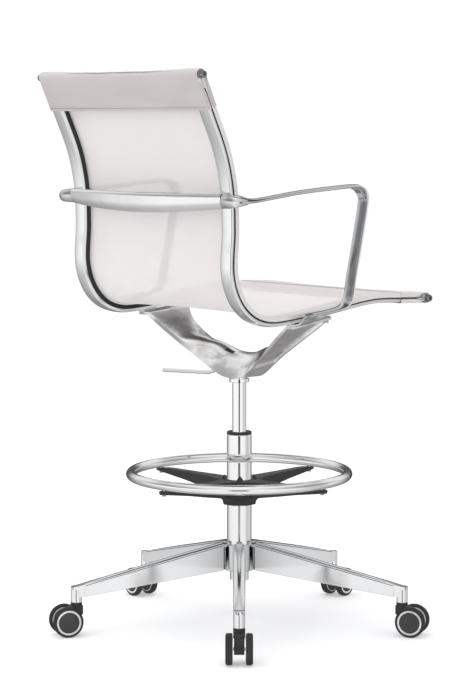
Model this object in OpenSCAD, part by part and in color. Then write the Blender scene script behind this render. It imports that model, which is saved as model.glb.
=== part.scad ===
// Drafting chair: mesh sling seat on two bent side rails, gas lift, foot ring, five-star base.
// Millimetres. +Z is up, the sitter faces -Y, and the origin is on the floor under the column.

/* [Seat frame] */
// Half the width over the side rails
frame_half_w = 240; // [230:1:250]
// Width of each side rail, seen from behind
rail_w = 30; // [24:1:34]
// Half the depth of each side rail
rail_half_d = 9.3; // [8:0.1:9.3]
// Width of the dark groove along each rail's outer face
groove_w = 4; // [2:0.5:5]
// Radius of the cross rods at the top and front
rod_r = 8; // [6:0.5:8]
// Thickness of the mesh
mesh_t = 1; // [0.6:0.1:1]

/* [Armrests] */
// Distance of each armrest's middle from the centre plane
arm_mid_x = 282; // [281:1:290]
// Width of each armrest
arm_w = 30; // [24:1:30]

/* [Gas lift] */
// Radius of the outer column tube
column_r = 25; // [24:0.5:25]
// Height of the top of the column tube
column_top = 387; // [380:1:390]
// Radius of the gas cylinder
cylinder_r = 14; // [13:0.5:14]
// Height of the floor of the seat socket
socket_z = 500; // [498:1:502]

/* [Foot ring] */
// Radius of the foot ring's centre line
ring_r = 218; // [190:1:225]
// Radius of the ring's tube
ring_tube_r = 9.75; // [8:0.25:11]
// Height of the ring's centre line
ring_z = 307.7; // [300:0.1:312]

/* [Base] */
// Distance of the caster stems from the column
stem_ring_r = 338.8; // [320:0.1:360]
// Radius of the caster wheels
wheel_r = 30; // [28:0.5:30]
// Width of one caster wheel
wheel_w = 14; // [10:0.5:14]
// Distance of the axle from the stem
trail = 21; // [18:0.5:24]

/* [Hidden] */
$fn = 64;

// Running gap, as a radius, of a shaft in its bore
fit = 0.05;
// Gap between pieces that rest on each other
seat_gap = 0.1;

// Middle line of the side rails as [y, z], from the top rod down the back to the front rod
RAIL_LINE = [
    [303, 1098], [271, 1028], [239, 955], [223, 886], [219, 810], [222, 735], [206, 684],
    [174, 650], [130, 635], [75, 637], [15, 644], [-60, 655], [-141, 665], [-215, 664],
    [-287, 661],
];
CURVE_STEPS = 4;

// Catmull-Rom curve through a list of points
function between(a, b, c, d, t) =
    0.5 * (2 * b + (c - a) * t + (2 * a - 5 * b + 4 * c - d) * t * t
    + (3 * b - a - 3 * c + d) * t * t * t);
function with_ends(p) =
    concat([2 * p[0] - p[1]], p, [2 * p[len(p) - 1] - p[len(p) - 2]]);
function smooth_line(p, n) =
    let (e = with_ends(p))
    concat(
        [for (i = [1:len(e) - 3]) for (k = [0:n - 1])
            between(e[i - 1], e[i], e[i + 1], e[i + 2], k / n)],
        [p[len(p) - 1]]
    );
function reverse(p) = [for (i = [len(p) - 1:-1:0]) p[i]];
function part_of(p, from, to) = [for (i = [from:to]) p[i]];

// Points of a line moved sideways: towards the sitter where d is positive
function heading(p, i) =
    let (v = p[min(i + 1, len(p) - 1)] - p[max(i - 1, 0)]) v / norm(v);
function sideways(v) = [v[1], -v[0]];
function shifted(p, d) = [for (i = [0:len(p) - 1]) p[i] + d * sideways(heading(p, i))];
function ribbon(p, low, high) = concat(shifted(p, low), reverse(shifted(p, high)));

// Outline that follows a line on both sides and goes round its first point
function wrapped(p, r, steps = 12) =
    let (t = heading(p, 0), s = sideways(t))
    concat(
        reverse(shifted(p, r)),
        [for (k = [1:steps - 1]) let (a = 180 * k / steps)
            p[0] + r * (cos(a) * s - sin(a) * t)],
        shifted(p, -r)
    );

rail_curve = smooth_line(RAIL_LINE, CURVE_STEPS);
curve_end = len(rail_curve) - 1;
rail_inner_x = frame_half_w - rail_w;
cloth_in = rail_half_d + seat_gap;
cloth_out = cloth_in + mesh_t;

// Solids whose outline lies in the YZ, XZ or XY plane
module along_x(x0, x1) {
    translate([x0, 0, 0]) rotate([90, 0, 90]) linear_extrude(x1 - x0) children();
}
module along_y(y0, y1) {
    translate([0, y1, 0]) rotate([90, 0, 0]) linear_extrude(y1 - y0) children();
}
module along_z(z0, z1) {
    translate([0, 0, z0]) linear_extrude(z1 - z0) children();
}
module both_sides() {
    children();
    mirror([1, 0, 0]) children();
}
module tube(r_out, r_in, z0, z1) {
    translate([0, 0, z0])
        difference() {
            cylinder(r = r_out, h = z1 - z0);
            translate([0, 0, -1]) cylinder(r = r_in, h = z1 - z0 + 2);
        }
}
module rod_x(r, x0, x1, at) {
    translate([x0, at[0], at[1]]) rotate([0, 90, 0]) cylinder(r = r, h = x1 - x0);
}

// ---- Base and column ----
base_top = 165;
base_bottom = 111.5;
barrel_r = 30;
arm_start_r = 37;
arm_turn = -5.06;
arm_half_w = [13, 10];
boss_r = 11;
boss_z = [66, 98];
stem_r = 5.5;
stem_top = 90;
tube_low_r = 19;
tube_low_z = 91;
bore_low_r = 16;
bush_low = 330;
bush_top = 393;

taper_h = base_top - base_bottom + 1;
taper_slope = (column_r - tube_low_r) / taper_h;
module column_taper(grow, past) {
    translate([0, 0, base_bottom - 1 - past])
        cylinder(
            r1 = tube_low_r + grow - past * taper_slope,
            r2 = column_r + grow + past * taper_slope,
            h = taper_h + 2 * past
        );
}

module base_arm() {
    wall = 3.5;
    top_plate = 6;
    end_r = stem_ring_r;
    difference() {
        intersection() {
            along_y(-arm_half_w[0], arm_half_w[0])
                polygon([
                    [barrel_r - 4, base_top - 1], [arm_start_r, base_top - 1],
                    [end_r, boss_z[1] + 1],
                    [end_r, boss_z[0] + 8], [end_r - 14, boss_z[0] + 9],
                    [arm_start_r, base_bottom + 1.5], [arm_start_r, base_top - top_plate],
                    [barrel_r - 4, base_top - top_plate],
                ]);
            along_z(boss_z[0], base_top)
                polygon([
                    [barrel_r - 4, -arm_half_w[0]], [end_r, -arm_half_w[1]],
                    [end_r, arm_half_w[1]], [barrel_r - 4, arm_half_w[0]],
                ]);
        }
        intersection() {
            along_y(-arm_half_w[0], arm_half_w[0])
                polygon([
                    [arm_start_r - 1, base_bottom - 20], [arm_start_r - 1, base_top - top_plate],
                    [arm_start_r, base_top - top_plate], [end_r - 14, boss_z[1] - 3],
                    [end_r - 14, boss_z[0] - 4],
                ]);
            along_z(boss_z[0] - 5, base_top)
                polygon([
                    [barrel_r - 4, wall - arm_half_w[0]], [end_r, wall - arm_half_w[1]],
                    [end_r, arm_half_w[1] - wall], [barrel_r - 4, arm_half_w[0] - wall],
                ]);
        }
    }
    translate([end_r, 0, boss_z[0]]) cylinder(r = boss_r, h = boss_z[1] - boss_z[0]);
}

module star_base() {
    color("silver")
        difference() {
            union() {
                translate([0, 0, base_bottom])
                    cylinder(r = barrel_r, h = base_top - base_bottom);
                for (k = [0:4]) rotate(arm_turn + 72 * k) base_arm();
            }
            column_taper(0.02, 2);
            for (k = [0:4])
                rotate(arm_turn + 72 * k)
                    translate([stem_ring_r, 0, boss_z[0] - 1])
                        cylinder(r = stem_r + fit, h = stem_top - boss_z[0] + 2);
        }
}

module column_tube() {
    color("gainsboro")
        difference() {
            union() {
                translate([0, 0, tube_low_z])
                    cylinder(r = tube_low_r, h = base_bottom - tube_low_z);
                column_taper(0, 0);
                translate([0, 0, base_top]) cylinder(r = column_r, h = column_top - base_top);
            }
            translate([0, 0, tube_low_z + 5]) cylinder(r = bore_low_r, h = bush_low);
            translate([0, 0, bush_low]) cylinder(r = column_r - 2, h = column_top);
            translate([0, 0, tube_low_z - 1]) cylinder(r = 5.6, h = 20);
        }
}

module column_bush() {
    color("#202022") {
        tube(column_r - 2.02, cylinder_r + fit, bush_low, column_top);
        tube(column_r, cylinder_r + fit, column_top, bush_top);
    }
}

rod_low = 84;
rod_head = [340, 350];
module thrust_bearing() {
    color("dimgray") tube(14, 5.6, tube_low_z + 5, tube_low_z + 11);
}
module piston_rod() {
    color("silver")
        difference() {
            union() {
                translate([0, 0, rod_low]) cylinder(r = 5.5, h = rod_head[1] - rod_low);
                tube(9, 5, tube_low_z + 11.2, tube_low_z + 14);
                translate([0, 0, rod_head[0]]) cylinder(r = 11.5, h = rod_head[1] - rod_head[0]);
            }
            tube(8, 4, rod_low + 2, rod_low + 4.5);
        }
}
module column_clip() {
    color("dimgray")
        difference() {
            tube(8.5, 4.1, rod_low + 2.2, rod_low + 4.3);
            translate([0, -3, rod_low]) cube([12, 6, 8]);
        }
}

// ---- Gas cylinder, valve and lever ----
cylinder_low = 218;
cylinder_high = socket_z + 20;
valve_r = 4;
module gas_cylinder() {
    color("gainsboro")
        difference() {
            translate([0, 0, cylinder_low])
                cylinder(r = cylinder_r, h = cylinder_high - cylinder_low);
            translate([0, 0, cylinder_low + 6])
                cylinder(r = 12, h = cylinder_high - cylinder_low - 21);
            translate([0, 0, cylinder_low - 1]) cylinder(r = 5.6, h = 12);
            translate([0, 0, cylinder_high - 8]) cylinder(r = valve_r, h = 9);
        }
}
module valve_button() {
    color("#202022")
        translate([0, 0, cylinder_high - 4.5]) cylinder(r = valve_r - fit, h = 8.8);
}

pivot = [25, socket_z + 29];
lever_r = 4;
// Middle line of the lever as [x, z], from its tip over the valve to its free end
LEVER_LINE = [[-4, 529], [25, 529], [36, 523], [62, 513], [100, 504], [240, 497]];
module round_bar(a, b, r) {
    d = b - a;
    translate([a[0], 0, a[1]])
        rotate([0, 90 - atan2(d[1], d[0]), 0])
            cylinder(r = r, h = norm(d));
}
module height_lever() {
    color("silver")
        difference() {
            union() {
                for (i = [0:len(LEVER_LINE) - 2])
                    round_bar(LEVER_LINE[i], LEVER_LINE[i + 1], lever_r);
                for (i = [1:len(LEVER_LINE) - 2])
                    translate([LEVER_LINE[i][0], 0, LEVER_LINE[i][1]])
                        sphere(r = lever_r + 0.15);
            }
            translate([pivot[0], -10, pivot[1]])
                rotate([-90, 0, 0]) cylinder(r = 1.5 + fit, h = 20);
        }
}
module lever_pin() {
    color("dimgray")
        translate([pivot[0], -14, pivot[1]]) rotate([-90, 0, 0]) cylinder(r = 1.5, h = 28);
}

// ---- Underframe ----
pad_drop = rail_half_d + 5;
// Half outlines as [x, z] for the front view and [x, y] for the plan; the wings lean like the seat
ANTLER_LOW = [
    [0, 502], [20, 502], [30, 505.5], [40, 511.5], [60, 523], [90, 541.5], [110, 554], [130, 566],
    [148, 577.5], [170, 591.5], [190, 605.5], [208, 618], [216, 621.5], [242, 622],
];
ANTLER_HIGH = [
    [0, 548], [40, 551], [60, 556], [90, 564], [110, 571], [130, 579], [148, 589], [170, 602],
    [190, 615], [208, 628], [216, 634], [242, 645],
];
ANTLER_REAR = [
    [0, 25], [20, 25], [40, 27], [60, 29.5], [90, 35.6], [130, 46.2], [170, 55.8], [215, 65],
    [236, 69],
];
ANTLER_FRONT = [
    [0, -40], [40, -42], [60, -42], [90, -35], [130, -30], [170, -29], [190, -34], [208, -43],
    [220, -43], [236, -34],
];
function flipped(p) = [for (i = [len(p) - 1:-1:1]) [-p[i][0], p[i][1]]];
function both(p) = concat(flipped(p), p);

module lever_slot() {
    translate([-9, -5.5, socket_z + 20.2]) cube([45, 11, 17]);
    translate([22, -5.5, socket_z + 5]) cube([42, 11, 32]);
}
wing_lean = 5.2;
// Each bolt under a rail: its y, the height of its head and the height of its end
BOLTS = [[-26, 625, 648], [46, 618.6, 640]];
bolt_head_h = 4;
module bolt_holes() {
    both_sides()
        for (b = BOLTS)
            translate([frame_half_w - 15, b[0], b[1]]) cylinder(r = 3.05, h = b[2] - b[1] + 1);
}
module antler() {
    color("silver")
        difference() {
            intersection() {
                translate([0, 0, 560])
                    rotate([-wing_lean, 0, 0])
                        translate([0, 0, -560])
                            along_y(-120, 140)
                                polygon(concat(both(ANTLER_LOW), reverse(both(ANTLER_HIGH))));
                along_z(480, 680)
                    polygon(concat(both(ANTLER_REAR), reverse(both(ANTLER_FRONT))));
            }
            both_sides()
                along_x(frame_half_w - rail_w - 8, frame_half_w + 10)
                    polygon(ribbon(rail_curve, -pad_drop, 30));
            translate([0, 0, 480]) cylinder(r = cylinder_r + 0.02, h = cylinder_high - 480);
            translate([0, 0, 480]) cylinder(r = valve_r + 2, h = socket_z - 480 + 25);
            lever_slot();
            translate([pivot[0], -14.5, pivot[1]])
                rotate([-90, 0, 0]) cylinder(r = 1.52, h = 29);
            bolt_holes();
            both_sides()
                for (b = BOLTS)
                    translate([frame_half_w - 15, b[0], 600])
                        cylinder(r = 5.7, h = b[1] + bolt_head_h + 0.1 - 600);
        }
}
module antler_collar() {
    color("silver") tube(20, cylinder_r + 0.02, socket_z - 7.5, socket_z - seat_gap);
}
module antler_bolts() {
    color("dimgray")
        both_sides()
            for (b = BOLTS)
                translate([frame_half_w - 15, b[0], b[1]]) {
                    cylinder(r = 5.5, h = bolt_head_h);
                    cylinder(r = 3, h = b[2] - b[1]);
                }
}

// ---- Seat frame ----
module rail_pocket() {
    along_x(frame_half_w - 8, frame_half_w + 1)
        polygon(ribbon(rail_curve, -groove_w / 2, groove_w / 2));
}
module side_rail() {
    difference() {
        union() {
            along_x(rail_inner_x, frame_half_w)
                polygon(ribbon(rail_curve, -rail_half_d, rail_half_d));
            for (i = [0, curve_end])
                rod_x(rail_half_d - 0.3, rail_inner_x, frame_half_w, rail_curve[i]);
        }
        rail_pocket();
        for (i = [0, curve_end])
            rod_x(rod_r + 0.02, rail_inner_x - 1, frame_half_w + 1, rail_curve[i]);
        bolt_holes();
        armrest_screw_holes();
    }
}
module right_rail() { color("silver") mirror([1, 0, 0]) side_rail(); }
module left_rail() { color("silver") side_rail(); }

module rail_liner() {
    along_x(rail_inner_x - 3.5, rail_inner_x - seat_gap)
        polygon(ribbon(part_of(rail_curve, 2, curve_end - 2), -2.5, rail_half_d - 0.3));
}
module left_liner() { color("#1a1a1c") rail_liner(); }
module right_liner() { color("#1a1a1c") mirror([1, 0, 0]) rail_liner(); }

module cross_rod(i) {
    rod_x(rod_r, -frame_half_w - 3.5, frame_half_w + 3.5, rail_curve[i]);
}
module top_rod() { color("silver") cross_rod(0); }
module front_rod() { color("silver") cross_rod(curve_end); }
module rod_caps() {
    color("dimgray")
        for (i = [0, curve_end])
            both_sides()
                difference() {
                    rod_x(rod_r + 0.5, frame_half_w + 3.6, frame_half_w + 12, rail_curve[i]);
                    translate([frame_half_w + 8, rail_curve[i][0], rail_curve[i][1]])
                        rotate([0, 90, 0]) cylinder(r = 3, h = 10, $fn = 6);
                }
}

// ---- Back spreader and armrests ----
spreader_top = 879;
spreader_half = 230;
function bow(x, half, deep) = deep * (1 - (x / half) * (x / half));
module back_spreader() {
    steps = 16;
    xs = [for (k = [-steps:steps]) k * spreader_half / steps];
    inner = [for (x = xs) [x, 232.2 + bow(x, spreader_half, 25)]];
    outer = [for (x = xs) [x, 247 + bow(x, spreader_half, 20)]];
    low = [for (x = xs) [x, 852 - bow(x, spreader_half, 12)]];
    color("silver")
        difference() {
            intersection() {
                along_z(800, 900) polygon(concat(inner, reverse(outer)));
                along_y(220, 280)
                    polygon(concat(low, [[spreader_half, spreader_top],
                        [-spreader_half, spreader_top]]));
            }
            both_sides() rod_x(3.02, spreader_half - 14, spreader_half + 1, dowel_at);
        }
}
dowel_at = [239, 866];
module spreader_dowels() {
    color("dimgray")
        both_sides() rod_x(3, spreader_half - 13, spreader_half + 13, dowel_at);
}

arm_x = [arm_mid_x - arm_w / 2, arm_mid_x + arm_w / 2];
// Outer and inner edges of the armrest as [y, z], from behind the rail round to the foot
ARM_OUTER = [
    [240, 871], [174, 875], [99, 884], [22, 890], [-45, 894], [-62, 890], [-75, 881], [-73, 853],
    [-63, 806], [-53, 758], [-42, 711], [-37, 673], [-27, 661], [-8, 653], [31, 648], [66, 644],
];
ARM_INNER = [
    [240, 862], [174, 866], [99, 875], [22, 881], [-48, 885], [-60, 882], [-66, 873], [-65, 853],
    [-55, 806], [-45, 758], [-34, 711], [-29, 680], [-18, 668], [-2, 661], [31, 656], [66, 651],
];
foot_y = [14, 66];
screw_z = 866;
module armrest_screw_holes() {
    translate([frame_half_w - 20, 180, screw_z])
        rotate([-90, 0, 0]) cylinder(r = 2.55, h = 60);
}
module armrest() {
    difference() {
        union() {
            along_x(arm_x[0], arm_x[1])
                polygon(concat(ARM_OUTER, reverse(ARM_INNER)));
            // Knuckle from the spreader's end round the rail to the arm
            intersection() {
                along_z(840, 890)
                    polygon([
                        [spreader_half + 0.1, 232.2], [spreader_half + 0.1, 247], [256, 250],
                        [280, 247], [arm_x[1], 234], [arm_x[1], 200], [arm_x[0], 200],
                        [258, 224], [250, 232.2],
                    ]);
                along_y(190, 260)
                    polygon([
                        [spreader_half, 852], [spreader_half, 879], [262, 877], [arm_x[1], 873],
                        [arm_x[1], 862], [262, 858],
                    ]);
            }
            // Foot: a lip under the rail, joined to the end of the lower run
            intersection() {
                along_x(frame_half_w - rail_w + 1, frame_half_w + 10)
                    polygon(ribbon(rail_curve, -pad_drop + seat_gap, -rail_half_d - seat_gap));
                translate([0, foot_y[0], 500]) cube([400, foot_y[1] - foot_y[0], 200]);
            }
            along_y(foot_y[0], foot_y[1])
                polygon([
                    [frame_half_w + 4, 624], [frame_half_w + 14, 624], [arm_x[0] + 3, 644],
                    [arm_x[1], 645], [arm_x[1], 650], [arm_x[0] - 4, 650],
                    [frame_half_w + 10, 635], [frame_half_w + 4, 631],
                ]);
        }
        rod_x(3.02, spreader_half - 1, spreader_half + 14, dowel_at);
        bolt_holes();
    }
}
module left_armrest() { color("silver") armrest(); }
module right_armrest() { color("silver") mirror([1, 0, 0]) armrest(); }
module armrest_screws() {
    color("dimgray")
        both_sides()
            translate([frame_half_w - 20, 0, screw_z])
                rotate([-90, 0, 0]) translate([0, 0, 218]) cylinder(r = 2.5, h = 12.5);
}

// ---- Sling and sleeves ----
sling_half = frame_half_w + 1.2;
sleeve_steps_top = 4;
sleeve_steps_front = 4;
module mesh_sling() {
    color("whitesmoke") {
        along_x(-sling_half, sling_half) polygon(ribbon(rail_curve, cloth_in, cloth_out));
        both_sides()
            along_x(frame_half_w + seat_gap, sling_half)
                polygon(ribbon(part_of(rail_curve, 1, curve_end - 1), groove_w / 2, cloth_out));
    }
}
module sleeve(line) {
    along_x(-sling_half - 0.8, sling_half + 0.8)
        difference() {
            polygon(wrapped(line, cloth_out + 1.1));
            polygon(wrapped(line, cloth_out + 0.1));
        }
}
module top_sleeve() { color("#c8c0c0") sleeve(part_of(rail_curve, 0, sleeve_steps_top)); }
module front_sleeve() {
    color("#f0ecec")
        sleeve(reverse(part_of(rail_curve, curve_end - sleeve_steps_front, curve_end)));
}

// ---- Foot ring ----
spoke_turn = 6.9;
collet_r = 28;
module foot_collet() {
    color("#303034")
        difference() {
            tube(collet_r, column_r + fit, 252, 296);
            translate([15, -1.5, 252]) cube([20, 3, 30]);
        }
}
module foot_ring() {
    color("gainsboro")
        difference() {
            translate([0, 0, ring_z])
                rotate_extrude()
                    translate([ring_r, 0]) circle(r = ring_tube_r);
            ring_screw_places() translate([0, 0, 280]) cylinder(r = 2.02, h = 24);
        }
}
module ring_screw_places() {
    for (k = [0:3]) rotate(spoke_turn + 90 * k) translate([ring_r, 0, 0]) children();
}
spoke_top = ring_z - ring_tube_r;
module foot_spoke() {
    intersection() {
        along_y(-24, 24)
            polygon([
                [20, spoke_top - 3], [ring_r - 20, spoke_top - 0.1], [ring_r + 11, spoke_top - 0.1],
                [ring_r + 11, spoke_top - 7], [100, 270], [60, 263], [36, 258], [20, 258],
            ]);
        along_z(240, 310)
            polygon([[20, -23], [70, -13], [ring_r + 11, -7], [ring_r + 11, 7], [70, 13], [20, 23]]);
    }
}
// Sloping rib between two spokes, highest against the column
module foot_gusset() {
    intersection() {
        along_y(-17, 17) polygon([[27, 262], [44, 262], [44, 288], [28.6, 306]]);
        along_x(20, 60)
            polygon([[-17, 260], [17, 260], [15, 290], [1.5, 307], [-1.5, 307], [-15, 290]]);
    }
}
module foot_star() {
    color("#202022")
        difference() {
            union() {
                translate([0, 0, 258]) cylinder(r = 34, h = spoke_top - 3 - 258);
                rotate(spoke_turn + 22.5) {
                    translate([0, 0, 246]) cylinder(r1 = 35, r2 = 35.8, h = 6, $fn = 8);
                    translate([0, 0, 252]) cylinder(r1 = 35.8, r2 = 41.5, h = 7, $fn = 8);
                }
                for (k = [0:3]) rotate(spoke_turn + 90 * k) {
                    foot_spoke();
                    rotate(45) foot_gusset();
                }
            }
            translate([0, 0, 240]) cylinder(r = collet_r + fit, h = 70);
            ring_screw_places() {
                translate([0, 0, 280]) cylinder(r = 2.05, h = 24);
                translate([0, 0, spoke_top - 12]) cylinder(r = 4.1, h = 3.45);
            }
        }
}
module foot_ring_screws() {
    color("dimgray")
        ring_screw_places() {
            translate([0, 0, spoke_top - 11.4]) cylinder(r = 4, h = 2.8);
            translate([0, 0, spoke_top - 9]) cylinder(r = 2, h = 15);
        }
}

// ---- Casters: stem axis at the local origin, the wheels trail along +X ----
hood_half = 10;
wheel_gap = 12;
axle_r = 3;
neck_r = 11.5;
neck_top = boss_z[0] - 0.3;
module at_caster(k) {
    rotate(arm_turn + 72 * (k - 1)) translate([stem_ring_r, 0, 0]) children();
}
module hood_body() {
    difference() {
        union() {
            along_y(-hood_half, hood_half)
                polygon([
                    [-neck_r, 44], [-neck_r, 60], [neck_r, 60], [trail + 9, 50], [trail + 16, 39],
                    [trail + 15, 27], [trail + 7, 20], [trail - 7, 20], [2, 28],
                ]);
            translate([0, 0, 44]) cylinder(r = neck_r, h = neck_top - 44);
        }
        translate([0, 0, 40]) cylinder(r = stem_r + 0.02, h = 40);
        translate([trail, -20, wheel_r]) rotate([-90, 0, 0]) cylinder(r = axle_r + 0.02, h = 40);
    }
}
module caster_hood(k) { color("#1c1c1e") at_caster(k) hood_body(); }
module caster_stem(k) {
    color("dimgray")
        at_caster(k) translate([0, 0, 40]) cylinder(r = stem_r, h = stem_top - 40);
}
module caster_axle(k) {
    color("dimgray")
        at_caster(k)
            translate([trail, -wheel_gap - wheel_w + 2, wheel_r])
                rotate([-90, 0, 0]) cylinder(r = axle_r, h = 2 * (wheel_gap + wheel_w - 2));
}
module wheel_body() {
    bead = 2;
    rotate_extrude()
        polygon([
            [axle_r + fit, 0], [wheel_r - 7, 0], [wheel_r - 6, 1], [wheel_r - bead, 0],
            [wheel_r, bead], [wheel_r, wheel_w - bead - 1], [wheel_r - bead, wheel_w],
            [wheel_r - 6, wheel_w], [wheel_r - 7, wheel_w - 1], [8, wheel_w - 1],
            [axle_r + fit, wheel_w - 1],
        ]);
}
module caster_wheel(k, side) {
    color("#1c1c1e")
        at_caster(k)
            translate([trail, side * wheel_gap, wheel_r])
                rotate([-90 * side, 0, 0]) wheel_body();
}

star_base();
column_tube();
column_bush();
column_clip();
thrust_bearing();
piston_rod();
gas_cylinder();
antler();
antler_collar();
antler_bolts();
left_rail();
right_rail();
left_liner();
right_liner();
top_rod();
front_rod();
rod_caps();
back_spreader();
spreader_dowels();
left_armrest();
right_armrest();
armrest_screws();
mesh_sling();
top_sleeve();
front_sleeve();
height_lever();
lever_pin();
valve_button();
foot_collet();
foot_ring();
foot_star();
foot_ring_screws();
for (k = [1:5]) {
    caster_hood(k);
    caster_stem(k);
    caster_axle(k);
    caster_wheel(k, 1);
    caster_wheel(k, -1);
}
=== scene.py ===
"""Drafting chair: the looks of every visible piece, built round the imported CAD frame."""
import math

import bmesh
import bpy
import numpy as np
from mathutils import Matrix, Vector


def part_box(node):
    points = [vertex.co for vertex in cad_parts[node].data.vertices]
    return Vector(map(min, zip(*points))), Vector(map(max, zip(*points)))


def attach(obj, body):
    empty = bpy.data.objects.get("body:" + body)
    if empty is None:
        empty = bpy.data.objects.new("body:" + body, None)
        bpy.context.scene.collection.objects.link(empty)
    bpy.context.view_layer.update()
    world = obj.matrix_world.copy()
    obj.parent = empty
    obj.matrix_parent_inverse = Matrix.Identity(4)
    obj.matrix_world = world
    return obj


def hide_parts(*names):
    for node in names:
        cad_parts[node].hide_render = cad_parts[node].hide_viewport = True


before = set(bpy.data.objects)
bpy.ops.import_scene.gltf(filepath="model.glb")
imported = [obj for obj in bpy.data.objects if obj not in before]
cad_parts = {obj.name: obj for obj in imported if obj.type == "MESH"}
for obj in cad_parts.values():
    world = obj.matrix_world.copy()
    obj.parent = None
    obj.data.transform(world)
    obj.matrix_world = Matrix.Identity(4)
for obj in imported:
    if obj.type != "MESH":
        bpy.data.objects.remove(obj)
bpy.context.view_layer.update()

# Lengths below are in millimetres, as in the part's source; MM turns them into metres.
MM = 0.001
UP = np.array([0.0, 0.0, 1.0])

# ------------------------------------------------------------------ driving dimensions
RAIL_LINE = [
    (303, 1098), (271, 1028), (239, 955), (223, 886), (219, 810), (222, 735), (206, 684),
    (174, 650), (130, 635), (75, 637), (15, 644), (-60, 655), (-141, 665), (-215, 664),
    (-287, 661),
]
RAIL_STEPS = 8
RAIL_HALF_DEPTH = 9.3
GROOVE_HALF = 2.0


def box_mm(node):
    """Lowest and highest corner of a CAD node, in millimetres."""
    low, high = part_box(node)
    return np.array(low) / MM, np.array(high) / MM


RAIL_IN, RAIL_OUT = box_mm("left_rail")[0][0], box_mm("left_rail")[1][0]
COLUMN_R = box_mm("column_tube")[1][0]
CYLINDER_R = box_mm("gas_cylinder")[1][0]


# ------------------------------------------------------------------ curves
def smooth_line(points, steps):
    """Catmull-Rom curve through the points, with so many steps between each two."""
    p = [np.array(q, float) for q in points]
    e = [2 * p[0] - p[1], *p, 2 * p[-1] - p[-2]]
    out = []
    for a, b, c, d in zip(e, e[1:], e[2:], e[3:]):
        for k in range(steps):
            t = k / steps
            out.append(
                0.5 * (2 * b + (c - a) * t + (2 * a - 5 * b + 4 * c - d) * t * t
                       + (3 * b - a - 3 * c + d) * t ** 3)
            )
    out.append(p[-1])
    return np.array(out)


def unit(v):
    return np.asarray(v, float) / np.linalg.norm(v)


def headings(line):
    """Unit direction of travel at each point of a line."""
    d = np.gradient(line, axis=0)
    return d / np.linalg.norm(d, axis=1)[:, None]


def blend_value(x, xs, ys):
    """Value at x on the straight lines between the pairs of xs and ys."""
    x = min(max(x, xs[0]), xs[-1])
    for x0, x1, y0, y1 in zip(xs, xs[1:], ys, ys[1:]):
        if x <= x1:
            return y0 + (y1 - y0) * (x - x0) / (x1 - x0)
    return ys[-1]


def ease(t):
    t = min(max(t, 0.0), 1.0)
    return t * t * (3 - 2 * t)


def rounded_rect(w, h, r):
    """Closed outline of a w by h rectangle with round corners, anticlockwise from the right."""
    r, steps = min(r, w / 2 - 1e-3, h / 2 - 1e-3), 4
    out = []
    for cx, cy, a0 in ((1, 1, 0), (-1, 1, 90), (-1, -1, 180), (1, -1, 270)):
        for k in range(steps + 1):
            a = math.radians(a0 + 90 * k / steps)
            out.append((cx * (w / 2 - r) + r * math.cos(a), cy * (h / 2 - r) + r * math.sin(a)))
    return out


# ------------------------------------------------------------------ meshes
class Shape:
    """Points and faces being gathered into one piece."""

    def __init__(self):
        self.verts, self.faces = [], []

    def add(self, verts, faces, move=None):
        start = len(self.verts)
        verts = [np.asarray(v, float) for v in verts]
        self.verts += [move(v) for v in verts] if move else verts
        self.faces += [tuple(i + start for i in f) for f in faces]
        return self

    def mirrored(self):
        """The same shape on the other side of the centre plane."""
        other = Shape()
        other.verts = [v * (-1, 1, 1) for v in self.verts]
        other.faces = [f[::-1] for f in self.faces]
        return other


def skin(rings, loop=False, open_ring=False):
    """Points and faces of a skin over rings that all have the same number of points."""
    n, m = len(rings[0]), len(rings)
    verts = [p for ring in rings for p in ring]
    faces = []
    for i in range(m if loop else m - 1):
        a, b = i * n, (i + 1) % m * n
        for k in range(n - 1 if open_ring else n):
            faces.append((a + k, a + (k + 1) % n, b + (k + 1) % n, b + k))
    if not loop:
        faces.append(tuple(range(n))[::-1])
        faces.append(tuple(range((m - 1) * n, m * n)))
    return verts, faces


def turned(profile, steps=72, axis=UP, centre=(0, 0, 0), closed=True):
    """Solid of revolution: profile is (radius, height) pairs, closed into a ring or not."""
    axis = unit(axis)
    side = unit(np.cross(axis, (1, 0, 0) if abs(axis[0]) < 0.9 else (0, 1, 0)))
    other = np.cross(axis, side)
    rings = []
    for k in range(steps):
        a = 2 * math.pi * k / steps
        out = math.cos(a) * side + math.sin(a) * other
        rings.append([np.array(centre) + r * out + h * axis for r, h in profile])
    return skin(rings, loop=True, open_ring=not closed)


def swept(line, sides, ups, sections):
    """Skin of (u, v) sections carried along a line, u along sides and v along ups."""
    rings = [
        [p + u * s + v * t for u, v in sec] for p, s, t, sec in zip(line, sides, ups, sections)
    ]
    return skin(rings)


def finish_mesh(mesh, sharp):
    bm = bmesh.new()
    bm.from_mesh(mesh)
    bmesh.ops.remove_doubles(bm, verts=bm.verts, dist=1e-6)
    bmesh.ops.dissolve_degenerate(bm, edges=bm.edges, dist=1e-7)
    bmesh.ops.recalc_face_normals(bm, faces=bm.faces)
    bm.to_mesh(mesh)
    bm.free()
    mesh.polygons.foreach_set("use_smooth", [True] * len(mesh.polygons))
    mesh.set_sharp_from_angle(angle=math.radians(sharp))


def new_object(name, data):
    obj = bpy.data.objects.new(name, data)
    bpy.context.scene.collection.objects.link(obj)
    return obj


def shape_object(name, shape, sharp):
    """A shape as an object, in metres, with its mesh cleaned."""
    mesh = bpy.data.meshes.new(name)
    mesh.from_pydata([tuple(float(c) * MM for c in v) for v in shape.verts], [], shape.faces)
    mesh.validate()
    finish_mesh(mesh, sharp)
    return new_object(name, mesh)


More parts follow.
